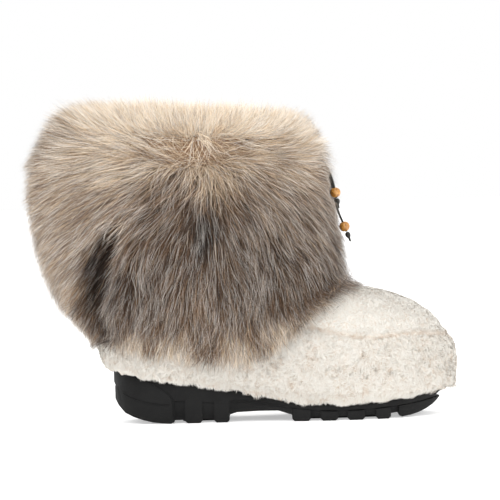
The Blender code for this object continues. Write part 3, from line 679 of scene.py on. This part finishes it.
def rim_layer(material):
    """Soft hairs that stand on the rim and lean out and in over it, so that no edge shows."""
    up, angle = fur_roots(RIM_HAIRS, 0.86, 1.16)
    place, normal, _, _ = cuff_frame(up, angle)
    roots = fur_root(place, normal, up)
    lean = rise(0.93, 1.16, up)[:, None]
    outward = np.stack([-np.cos(angle), np.sin(angle), np.zeros(RIM_HAIRS)], 1)
    upright = np.array([0.0, 0.0, 1.0])
    way = unit(upright + outward * (0.7 - 0.95 * lean) + rng.normal(0, 0.22, (RIM_HAIRS, 3)))
    bent = unit(way + outward * (0.5 - 0.7 * lean) + rng.normal(0, 0.15, (RIM_HAIRS, 3)))
    reach = RIM_LENGTH * rng.uniform(0.6, 1.2, RIM_HAIRS) * (1 - 0.30 * lean[:, 0])
    steps = [roots]
    for share in (0.2, 0.5, 0.85):
        steps.append(steps[-1] + unit(way * (1 - share) + bent * share) * (reach / 3)[:, None])
    paths = np.stack(steps, 1)
    paths, _ = clumped(paths, CLUMP_SPACING * 0.7, rng.uniform(0.1, 0.5, RIM_HAIRS))
    tone, warm = fur_tone(place)
    tone = np.clip(tone + rng.normal(0.02, 0.10, RIM_HAIRS), 0, 1)
    wide = 0.00030 * rng.uniform(0.7, 1.25, RIM_HAIRS)
    facing = unit(outward + (0, 0, 0.4))
    made = ribbon_object("rim_fur", to_world(paths), facing, wide, map_row(tone, warm), material, skip=0.4,
                         squared=0.3)
    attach(made, "root")


def combed(flow, place, normal, near_hem):
    """The lie of the fur with each hair turned a little, more at the hem and in the whorl."""
    across = unit(np.cross(normal, flow))
    off_whorl = (place[:, 0] - WHORL[0]) ** 2 + (place[:, 2] - WHORL[1]) ** 2
    whorl = np.exp(-off_whorl / WHORL_REACH**2)
    turn = rng.normal(0, 0.19, len(place)) * (1 + near_hem + 3.2 * whorl) + 0.16 * noise_at(place, 160, 31)
    return unit(flow * np.cos(turn)[:, None] + across * np.sin(turn)[:, None])


def hair_angles(lift, settle, stand, near_hem, front_hem):
    """How far each hair stands off the skin at its root and at its tip."""
    count = len(stand)
    start = lift * rng.normal(1, 0.16, count) * (1 - 0.30 * near_hem) + 0.35 * stand
    finish = settle * rng.normal(1, 0.5, count) + stand * rng.normal(0.8, 0.12, count) + 0.16 * near_hem
    start = start * (1 - front_hem) + rng.normal(1.15, 0.2, count) * front_hem
    finish = finish * (1 - front_hem) + rng.normal(1.0, 0.25, count) * HEM_STAND * front_hem
    return start, finish


def fur_layer(name, count, length, lift, settle, width, pull, material, brighter=0.0, spread=0.10,
              thin_when_pale=0.0):
    """One layer of hairs over the whole cuff: their length, angles at root and tip, width and clumping."""
    up, angle = fur_roots(count)
    place, normal, _, _ = cuff_frame(up, angle)
    along = (1 - np.cos(angle)) / 2
    flow, stand, share = fur_flow(place, normal)
    front_hem = rise(0.60, 0.80, along) * (1 - rise(0.04, 0.20, up)) * 0.6
    near_hem = 1 - rise(0.0, 0.24, up)
    flow = combed(flow, place, normal, near_hem)
    roots = fur_root(place, normal, up)
    near_top = rise(0.92, 1.04, up)
    ends = rise(0.80, 1.0, up) * (rise(0.90, 0.99, along) + 1 - rise(0.01, 0.10, along))
    hollow = np.clip(cleft_depth(up, along) / CLEFT_DEPTH, 0, 1) * (up < 0.6) + in_slit(place)
    reach = length * share * rng.uniform(0.72, 1.13, count) * (1 - 0.46 * near_hem) * (1 - 0.30 * near_top)
    reach = reach * (1 - 0.42 * np.clip(hollow, 0, 1)) * (1 - 0.35 * ends) * (1 - 0.1 * front_hem)
    start, finish = hair_angles(lift, settle, stand, near_hem, front_hem)
    paths = grown(roots, normal, flow, reach, start, finish)
    paths, group = clumped(paths, CLUMP_SPACING, pull * rng.uniform(0.4, 1.0, count))
    paths = clear_of_ties(paths)
    tone, warm = fur_tone(place)
    locks = noise_at(roots, 700, 21) * 0.05 + rng.normal(0, 0.06, group.max() + 1)[group]
    # Hairs in the cleft and the slit are made darker by 0.14 of hollow: painted shade in these recesses.
    tone = np.clip(tone + brighter + locks + rng.normal(0, spread, count) - 0.14 * hollow, 0, 1)
    row = map_row(tone, warm)
    wide = width * rng.uniform(0.7, 1.25, count)
    # Hairs near the crest skip more of the darkened root, so they carry less painted shade.
    crest = 0.58 * rise(0.60, 0.80, up)
    kept = rng.random(count) > thin_when_pale * rise(0.7, 0.92, fur_tone(place)[0])
    laid = over_fleece(to_world(paths), normal, kept & (up < 0.30))
    made = ribbon_object(name, laid[kept], normal[kept], wide[kept], row[kept], material, skip=crest[kept])
    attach(made, "root")
    return made


FUR_PALETTE = [
    (0.02, linear("1b1512")), (0.13, linear("46372b")), (0.25, linear("7a685b")), (0.37, linear("b0a295")),
    (0.475, linear("e2dbd2")), (0.525, linear("2a1a10")), (0.63, linear("5e4430")), (0.75, linear("9a7c60")),
    (0.87, linear("d8bf9f")), (0.98, linear("fbeeda")),
]


def fur_base(material):
    """The soft ground under the hairs, darker than they are: partly the fur's own dark base, partly painted
    shade at the roots.
    """
    rows, turns = 44, 128
    up = np.linspace(0.02, 1.16, rows)
    angles = 2 * np.pi * np.arange(turns) / turns
    bm = bmesh.new()
    layer = bm.loops.layers.uv.new("OFBake")
    rings, tones = [], []
    for level in up:
        place, normal, _, _ = cuff_frame(np.full(turns, level), angles + 1e-4)
        under = 0.0012 + HEM_SINK * (1 - rise(0.02, 0.14, level))
        rings.append(to_world(fur_root(place, normal, np.full(turns, level)) - normal * under))
        tone, warm = fur_tone(place)
        # The ground takes 0.6 of the hair's tone: partly the fur's darker base, partly painted shade at the
        # roots.
        tones.append(0.02 + 0.46 * tone * 0.6 + 0.5 * (warm > 0.5))
    upper = tree_of(nodes["upper"])
    lowered = rings[-1] - (0, 0, COLLAR_TUCK)
    closed = [upper.find_nearest(Vector(point)) for point in lowered]
    rings.append(np.array([place + normal * 0.0004 for place, normal, _, _ in closed]))
    tones.append(tones[-1])
    loops = [[bm.verts.new(point) for point in ring] for ring in rings]
    for i in range(rows):
        for j in range(turns):
            k = (j + 1) % turns
            face = bm.faces.new((loops[i][j], loops[i][k], loops[i + 1][k], loops[i + 1][j]))
            row = float(np.clip(tones[i][j], 0.02, 0.97))
            # pale moves the ground up the shade ramp near the crest, so it shows less painted shade there.
            pale = 0.2 + 0.3 * float(rise(0.6, 0.8, up[i]))
            for loop, (u, v) in zip(face.loops, ((0, 0), (0.05, 0), (0.05, 0.01), (0, 0.01))):
                loop[layer].uv = (pale + u, row + v)
    mesh = bpy.data.meshes.new("fur_ground")
    bm.to_mesh(mesh)
    bm.free()
    mesh.shade_smooth()
    mesh.materials.append(material)
    made = bpy.data.objects.new("fur_ground", mesh)
    bpy.context.scene.collection.objects.link(made)
    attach(made, "root")
    return made


def make_fur():
    # shade darkens each hair towards its root: partly the fur's own darker base, partly painted shade between
    # the hairs
    shade = [(0.0, 0.28), (0.25, 0.55), (0.5, 0.95), (0.78, 1.12), (1.0, 1.15)]
    tips = [(0.0, 0.0), (0.52, 0.0), (0.72, 0.55), (1.0, 0.85)]
    guard = hair_material("guard_hair", FUR_PALETTE, shade, linear("efe9e0"), tips, 0.48)
    dark_tips = [(0.0, 0.0), (0.6, 0.0), (0.86, 0.55), (1.0, 0.75)]
    dark = hair_material("dark_guard_hair", FUR_PALETTE, shade, linear("2a211c"), dark_tips, 0.5)
    soft = [(0.0, 0.0), (1.0, 0.0)]
    under = hair_material("under_fur", FUR_PALETTE, shade, linear("d8c6b0"), soft, 0.7)
    fur_base(under)
    third = GUARD_HAIRS // 3
    pale_ends = [(0.0, 0.0), (0.7, 0.0), (1.0, 0.15)]
    plain = hair_material("plain_guard_hair", FUR_PALETTE, shade, linear("efe9e0"), pale_ends, 0.5)
    fur_layer("guard_fur_a", third, 0.041, 0.80, 0.10, 0.00028, 0.75, guard, brighter=0.05, spread=0.20)
    fur_layer("guard_fur_b", third, 0.039, 0.78, 0.08, 0.00030, 0.80, plain, brighter=0.0, spread=0.16)
    fur_layer("guard_fur_c", third, 0.038, 0.85, 0.16, 0.00026, 0.5, dark, spread=0.12, thin_when_pale=0.85)
    fur_layer("under_fur_a", UNDER_HAIRS, 0.028, 0.95, 0.25, 0.00044, 0.85, under, brighter=0.0)
    rim_layer(plain)
    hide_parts("fur_cuff")


# The fleece


def fleece_material():
    made, tree, shader = new_material("fleece")
    place = object_place(tree)
    lumps = add_noise(tree, place, 95.0, 3.0)
    fine = add_noise(tree, place, 900.0, 3.0)
    stops = [(0.30, linear("d0c0ae")), (0.48, linear("dad0c4")), (0.62, linear("e0d9cf"))]
    colour = add_ramp(tree, lumps, stops)
    tree.links.new(colour, shader.inputs["Base Color"])
    shader.inputs["Roughness"].default_value = 1.0
    shader.inputs["Sheen Weight"].default_value = 0.4
    add_bump(tree, shader, fine, 0.0008)
    return made


def fleece_hair_material():
    palette = [(0.02, linear("c4ad97")), (0.30, linear("d4c8ba")), (0.60, linear("e0dad0")),
               (0.98, linear("e7e4dd"))]
    # shade darkens the strands a little towards the root: painted shade.
    shade = [(0.0, 0.93), (0.4, 0.98), (1.0, 1.0)]
    tips = [(0.0, 0.0), (1.0, 0.2)]
    return hair_material("fleece_curls", palette, shade, linear("ecebe6"), tips, 0.85)


def noise_at(points, scale, seed):
    """Smooth value noise, from sums of waves."""
    local = np.random.default_rng(seed)
    total = np.zeros(len(points))
    for _ in range(14):
        way = unit(local.normal(size=3)) * scale * local.uniform(0.6, 1.5)
        total += np.sin(points @ way + local.uniform(0, 6.28))
    return total / np.sqrt(14) * 1.2


def creases(points):
    """How deep in the folds between the fleece's curls a place lies, 0 to 1."""
    fold = np.exp(-((noise_at(points, 520, 3) / 0.17) ** 2))
    return fold * rise(-0.7, 0.5, noise_at(points, 170, 5))


def over_seam(points):
    """How far world points lie above the apron's seam in mm, and that share of the apron, 0 to 1."""
    x, z = (points[:, 0] + ORIGIN_FROM_HEEL_END) * 1000, points[:, 2] * 1000
    over = np.where(x < 160, -20, z - smooth(SEAM[:, 0], SEAM[:, 1], x))
    return over, rise(0.0, 5.0, over)


def make_fleece():
    """The fleece's body with its folds. Gives it and its even normals from before the folds."""
    body = nodes["foot_fleece"].copy()
    body.data = nodes["foot_fleece"].data.copy()
    body.name = "fleece_body"
    body.parent = None
    bpy.context.scene.collection.objects.link(body)
    for key in list(body.keys()):
        del body[key]
    remesh = body.modifiers.new("even", "REMESH")
    remesh.mode = "VOXEL"
    remesh.voxel_size = 0.0026
    relax = body.modifiers.new("relax", "SMOOTH")
    relax.factor = 0.5
    relax.iterations = 4
    graph = bpy.context.evaluated_depsgraph_get()
    mesh = bpy.data.meshes.new_from_object(body.evaluated_get(graph))
    body.modifiers.clear()
    body.data = mesh
    count = len(mesh.vertices)
    points = np.empty(count * 3)
    normals = np.empty(count * 3)
    mesh.vertices.foreach_get("co", points)
    mesh.vertices.foreach_get("normal", normals)
    points, normals = points.reshape(-1, 3), normals.reshape(-1, 3)
    over, apron = over_seam(points)
    lumps = (noise_at(points, 800, 4) * 0.0007 - creases(points) * FOLD_BETWEEN_CURLS) * (1 - 0.8 * apron)
    lumps -= 0.0020 * np.exp(-((over / 2.4) ** 2))
    sink = np.where(points[:, 2] < 0.035, 0.2, 1.0)
    points = points + normals * (lumps * sink - FLEECE_INSET)[:, None]
    mesh.vertices.foreach_set("co", points.reshape(-1))
    mesh.update()
    mesh.materials.clear()
    mesh.materials.append(fleece_material())
    mesh.shade_smooth()
    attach(body, "root")
    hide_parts("foot_fleece")
    return body, normals


def tree_of(obj):
    mesh = obj.data
    return BVHTree.FromPolygons([v.co for v in mesh.vertices], [p.vertices for p in mesh.polygons])


def in_the_open(middle, normal):
    """Which faces of the fleece no other piece lies over."""
    covers = [(tree_of(nodes[name]), reach) for name, reach in COVERS]
    seen = np.ones(len(middle), bool)
    for i, (place, way) in enumerate(zip(middle, normal)):
        start, way = Vector(place), Vector(way)
        hits = (cover.ray_cast(start + way * 0.0002, way, reach)[0] for cover, reach in covers)
        seen[i] = all(hit is None for hit in hits)
    return seen


def pile_roots(body, soft):
    """Even places over the open fleece, and the ways that its strands face."""
    mesh = body.data
    mesh.calc_loop_triangles()
    tris = np.empty(len(mesh.loop_triangles) * 3, np.int32)
    mesh.loop_triangles.foreach_get("vertices", tris)
    tris = tris.reshape(-1, 3)
    points = np.empty(len(mesh.vertices) * 3)
    mesh.vertices.foreach_get("co", points)
    points = points.reshape(-1, 3)
    one, two, three = (points[tris[:, i]] for i in range(3))
    cross = np.cross(two - one, three - one)
    normal = unit(cross)
    seen = in_the_open((one + two + three) / 3, normal)
    area = np.where(seen, np.linalg.norm(cross, axis=1), 0)
    pick = sample_share(area, FLEECE_STRANDS)
    share = rng.random((FLEECE_STRANDS, 2))
    flip = share.sum(1) > 1
    share[flip] = 1 - share[flip]
    roots = one[pick] + (two - one)[pick] * share[:, :1] + (three - one)[pick] * share[:, 1:]
    facing = unit(soft[tris[pick]].mean(1) + 0.55 * normal[pick])
    return roots - facing * 0.0002, facing


def make_curls(body, soft):
    """Short strands that lie every way over the fleece in small locks, and hang at the hem."""
    roots, facing = pile_roots(body, soft)
    wave = np.stack([noise_at(roots, 900, seed) for seed in (11, 12, 13)], 1) * 0.35
    wave += rng.normal(0, 0.8, wave.shape) - np.array([0.0, 0.0, 0.15])
    flow = unit(wave - facing * np.sum(wave * facing, 1, keepdims=True))
    x, z = (roots[:, 0] + ORIGIN_FROM_HEEL_END) * 1000, roots[:, 2] * 1000
    over, apron = over_seam(roots)
    groove = np.exp(-((over / SEAM_HALF_WIDTH) ** 2))
    length = FLEECE_LENGTH * rng.uniform(0.85, 1.1, FLEECE_STRANDS) * (1 - 0.25 * apron) * (1 - 0.75 * groove)
    lift = rng.uniform(0.45, 0.95, FLEECE_STRANDS)
    settle = rng.uniform(-0.1, 0.25, FLEECE_STRANDS)
    low = smooth(FLEECE_HEM[:, 0], FLEECE_HEM[:, 1], x)
    over_hem = z - low
    hem = 1 - rise(3.0, 8.0, over_hem)
    down = np.array([0.0, 0.0, -1.0]) - facing * -facing[:, 2:]
    flow = unit(flow * (1 - hem[:, None]) + unit(down) * hem[:, None] * 2)
    hanging = np.clip(over_hem + rng.uniform(-1.0, 3.0, FLEECE_STRANDS), 1.2, 8.0) / 1000
    length = length * (1 - hem) + hanging * hem
    lift = lift * (1 - 0.5 * hem)
    settle = settle * (1 - hem)
    paths = grown(roots, facing, flow, length, lift, settle, points=3)
    pull = rng.uniform(0.15, 0.60, FLEECE_STRANDS) * (1 - 0.4 * apron) + 0.3 * hem
    straight = paths[:, -1].copy()
    paths, group = clumped(paths, CURL_SPACING, pull)
    drawn = np.linalg.norm(paths[:, -1] - straight, axis=1) / CURL_SPACING
    # Strands are darker in the folds between the curls and where they are drawn into clumps: painted shade in
    # these gaps. They are also darker along the seam's groove.
    tone = 0.92 - 0.60 * creases(roots) * (1 - 0.8 * apron) + rng.normal(0, 0.06, FLEECE_STRANDS)
    locks = rng.normal(0, 0.04, group.max() + 1)[group]
    tone = tone + locks - 0.35 * drawn * (1 - 0.6 * apron) - 0.7 * groove
    wide = FLEECE_WIDTH * rng.uniform(0.7, 1.3, FLEECE_STRANDS)
    material = fleece_hair_material()
    for name, part in (("fleece_curls_a", slice(0, None, 2)), ("fleece_curls_b", slice(1, None, 2))):
        made = ribbon_object(name, paths[part], facing[part], wide[part], tone[part], material,
                             taper=0.4, turned=0.08, squared=0.5, spin=0.15)
        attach(made, "root")


# The sole, the upper and the ties


def rubber_material():
    made, tree, shader = new_material("rubber")
    place = object_place(tree)
    grain = add_noise(tree, place, 1500.0, 3.0)
    cloud = add_noise(tree, place, 60.0, 3.0)
    colour = add_ramp(tree, cloud, [(0.35, linear("060606")), (0.65, linear("0e0e0e"))])
    tree.links.new(colour, shader.inputs["Base Color"])
    shader.inputs["Roughness"].default_value = 0.6
    shader.inputs["Specular IOR Level"].default_value = 0.22
    add_bump(tree, shader, grain, 0.0004)
    return made


def cloth_material(name, dark, pale, scale):
    made, tree, shader = new_material(name)
    place = object_place(tree)
    tufts = add_noise(tree, place, scale, 4.0)
    colour = add_ramp(tree, tufts, [(0.35, linear(dark)), (0.65, linear(pale))])
    tree.links.new(colour, shader.inputs["Base Color"])
    shader.inputs["Roughness"].default_value = 1.0
    add_bump(tree, shader, tufts, 0.002)
    return made


def wood_material():
    made, tree, shader = new_material("amber_wood")
    place = object_place(tree)
    rings = add_noise(tree, place, 420.0, 5.0, 0.6, 2.0)
    stops = [(0.32, linear("6a4012")), (0.48, linear("b57a30")), (0.66, linear("d9a355"))]
    colour = add_ramp(tree, rings, stops)
    tree.links.new(colour, shader.inputs["Base Color"])
    shader.inputs["Roughness"].default_value = 0.3
    shader.inputs["Coat Weight"].default_value = 0.5
    return made


def cord_material():
    made, tree, shader = new_material("waxed_cord")
    place = object_place(tree)
    twist = add_noise(tree, place, 1800.0, 2.0)
    colour = add_ramp(tree, twist, [(0.35, linear("141311")), (0.65, linear("34312c"))])
    tree.links.new(colour, shader.inputs["Base Color"])
    shader.inputs["Roughness"].default_value = 0.65
    add_bump(tree, shader, twist, 0.0003)
    return made


def dress(node, material, name, levels=0, bevel=0.0):
    """A copy of a CAD node with a finer surface and its own material."""
    source = nodes[node]
    made = source.copy()
    made.data = source.data.copy()
    made.name = name
    made.parent = None
    for key in list(made.keys()):
        del made[key]
    bpy.context.scene.collection.objects.link(made)
    made.data.materials.clear()
    made.data.materials.append(material)
    weld = made.modifiers.new("weld", "WELD")
    weld.merge_threshold = 0.00001
    if bevel:
        edge = made.modifiers.new("edge", "BEVEL")
        edge.width = bevel
        edge.segments = 2
        edge.limit_method = "ANGLE"
        edge.angle_limit = math.radians(35)
    if levels:
        fine = made.modifiers.new("fine", "SUBSURF")
        fine.levels = levels
        fine.render_levels = levels
    made.data.shade_smooth()
    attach(made, "root")
    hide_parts(node)
    return made


def smooth_route(points, spacing):
    """Points every spacing along a soft curve through the given points."""
    points = np.array(points)
    reach = np.concatenate([[0], np.cumsum(np.linalg.norm(np.diff(points, axis=0), axis=1))])
    count = max(2, round(reach[-1] / spacing))
    at = np.linspace(0, reach[-1], count + 1)
    return np.stack([smooth(reach, points[:, i], at) for i in range(3)], 1)


def curve_through(name, points, radius, resolution):
    """A round curve through world points."""
    curve = bpy.data.curves.new(name, "CURVE")
    curve.dimensions = "3D"
    curve.bevel_depth = radius
    curve.bevel_resolution = resolution
    spline = curve.splines.new("POLY")
    spline.points.add(len(points) - 1)
    for point, place in zip(spline.points, points):
        point.co = (*place, 1.0)
    return curve


def rib_points(sole, line, side):
    """Places of a moulded line on one side wall of the sole."""
    points = []
    for x, z in smooth_route([(x, 0.0, z) for x, z in line], 1.0)[:, [0, 2]] / 1000:
        start = Vector((x - ORIGIN_FROM_HEEL_END, side * 0.2, z))
        place, normal, _, _ = sole.ray_cast(start, Vector((0, -side, 0)), 0.2)
        if place is not None and abs(place.y) > 0.02:
            points.append(place + normal * SOLE_LINE_RADIUS * 0.2)
    return points


def make_sole_lines(material):
    """Thin moulded ribs laid on the sole's side walls, as one mesh."""
    sole = tree_of(nodes["outsole"])
    joined = bmesh.new()
    for line in SOLE_LINES:
        for side in (-1, 1):
            curve = curve_through("sole_line", rib_points(sole, line, side), SOLE_LINE_RADIUS, 2)
            holder = bpy.data.objects.new("sole_line", curve)
            bpy.context.scene.collection.objects.link(holder)
            graph = bpy.context.evaluated_depsgraph_get()
            joined.from_mesh(bpy.data.meshes.new_from_object(holder.evaluated_get(graph)))
            bpy.data.objects.remove(holder)
    mesh = bpy.data.meshes.new("sole_ribs")
    joined.to_mesh(mesh)
    joined.free()
    mesh.shade_smooth()
    mesh.materials.clear()
    mesh.materials.append(material)
    ribs = bpy.data.objects.new("sole_ribs", mesh)
    bpy.context.scene.collection.objects.link(ribs)
    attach(ribs, "root")


def make_cord(name, node, points, material):
    route = to_world(smooth_route(points, 2.2 * CORD_DIAMETER))
    curve = curve_through(name, route, CORD_DIAMETER / 2, 3)
    curve.use_fill_caps = True
    curve.materials.append(material)
    made = bpy.data.objects.new(name, curve)
    bpy.context.scene.collection.objects.link(made)
    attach(made, "root")
    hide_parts(node)
    return made


def make_ties():
    cord, wood = cord_material(), wood_material()
    dress("tie_knot", cord, "front_knot", levels=1)
    for name, points in (("short_tie", SHORT_TIE), ("long_tie", LONG_TIE)):
        bead = dress(name + "_bead", wood, name + "_wood_bead", levels=1)
        knot = dress(name + "_end_knot", cord, name + "_stopper", levels=1)
        make_cord(name + "_cord", name, points, cord)


def make_shoe():
    rubber = rubber_material()
    make_sole_lines(rubber)
    dress("outsole", rubber, "sole", bevel=0.0006)
    dress("insole", cloth_material("wool_insole", "cfc3b0", "f0e9dc", 500.0), "insole_pad", levels=1)
    dress("upper", cloth_material("wool_lining", "d8cbb6", "f4eee3", 380.0), "lining", levels=1)


# Camera, light and floor


def make_camera():
    camera = bpy.data.cameras.new("camera")
    camera.sensor_width = 36
    camera.lens = 36 * CAMERA_DISTANCE / VIEW_WIDTH
    camera.clip_end = 50
    made = bpy.data.objects.new("camera", camera)
    bpy.context.scene.collection.objects.link(made)
    bpy.context.scene.camera = made
    lift, roll = math.radians(CAMERA_ELEVATION), math.radians(CAMERA_ROLL)
    back = Vector((0, -math.cos(lift), math.sin(lift)))
    right = Vector((1, 0, 0))
    upright = back.cross(right)
    turned = right * math.cos(roll) - upright * math.sin(roll)
    top = upright * math.cos(roll) + right * math.sin(roll)
    basis = Matrix((turned, top, back)).transposed().to_4x4()
    made.matrix_world = Matrix.Translation(Vector(VIEW_CENTRE) + back * CAMERA_DISTANCE) @ basis


def add_area(name, place, target, size, power, colour=(1, 1, 1)):
    light = bpy.data.lights.new(name, "AREA")
    light.shape = "DISK"
    light.size = size
    light.energy = power
    light.color = colour
    made = bpy.data.objects.new(name, light)
    bpy.context.scene.collection.objects.link(made)
    made.location = place
    made.rotation_euler = (Vector(target) - Vector(place)).to_track_quat("-Z", "Y").to_euler()


def make_studio():
    scene = bpy.context.scene
    scene.view_settings.view_transform = "Standard"
    world = bpy.data.worlds.new("studio")
    world.use_nodes = True
    world.node_tree.nodes["Background"].inputs["Color"].default_value = (1, 1, 1, 1)
    world.node_tree.nodes["Background"].inputs["Strength"].default_value = 1.0
    scene.world = world
    centre = (0.05, 0, 0.12)
    add_area("key", (-0.7, -1.7, 1.5), centre, 1.8, 19)
    add_area("fill", (1.5, -1.6, 0.7), centre, 1.8, 15)
    add_area("back", (0.3, 1.6, 1.4), centre, 1.4, 12)
    bpy.ops.mesh.primitive_plane_add(size=30)
    floor = bpy.context.object
    floor.name = "floor"
    made, _, shader = new_material("floor")
    shader.inputs["Base Color"].default_value = (0.92, 0.92, 0.92, 1)
    shader.inputs["Roughness"].default_value = 0.9
    shader.inputs["Specular IOR Level"].default_value = 0.0
    shader.inputs["Emission Color"].default_value = (1, 1, 1, 1)
    shader.inputs["Emission Strength"].default_value = 0.45
    floor.data.materials.append(made)


make_camera()
make_ties()
make_shoe()
make_curls(*make_fleece())
make_fur()
make_studio()
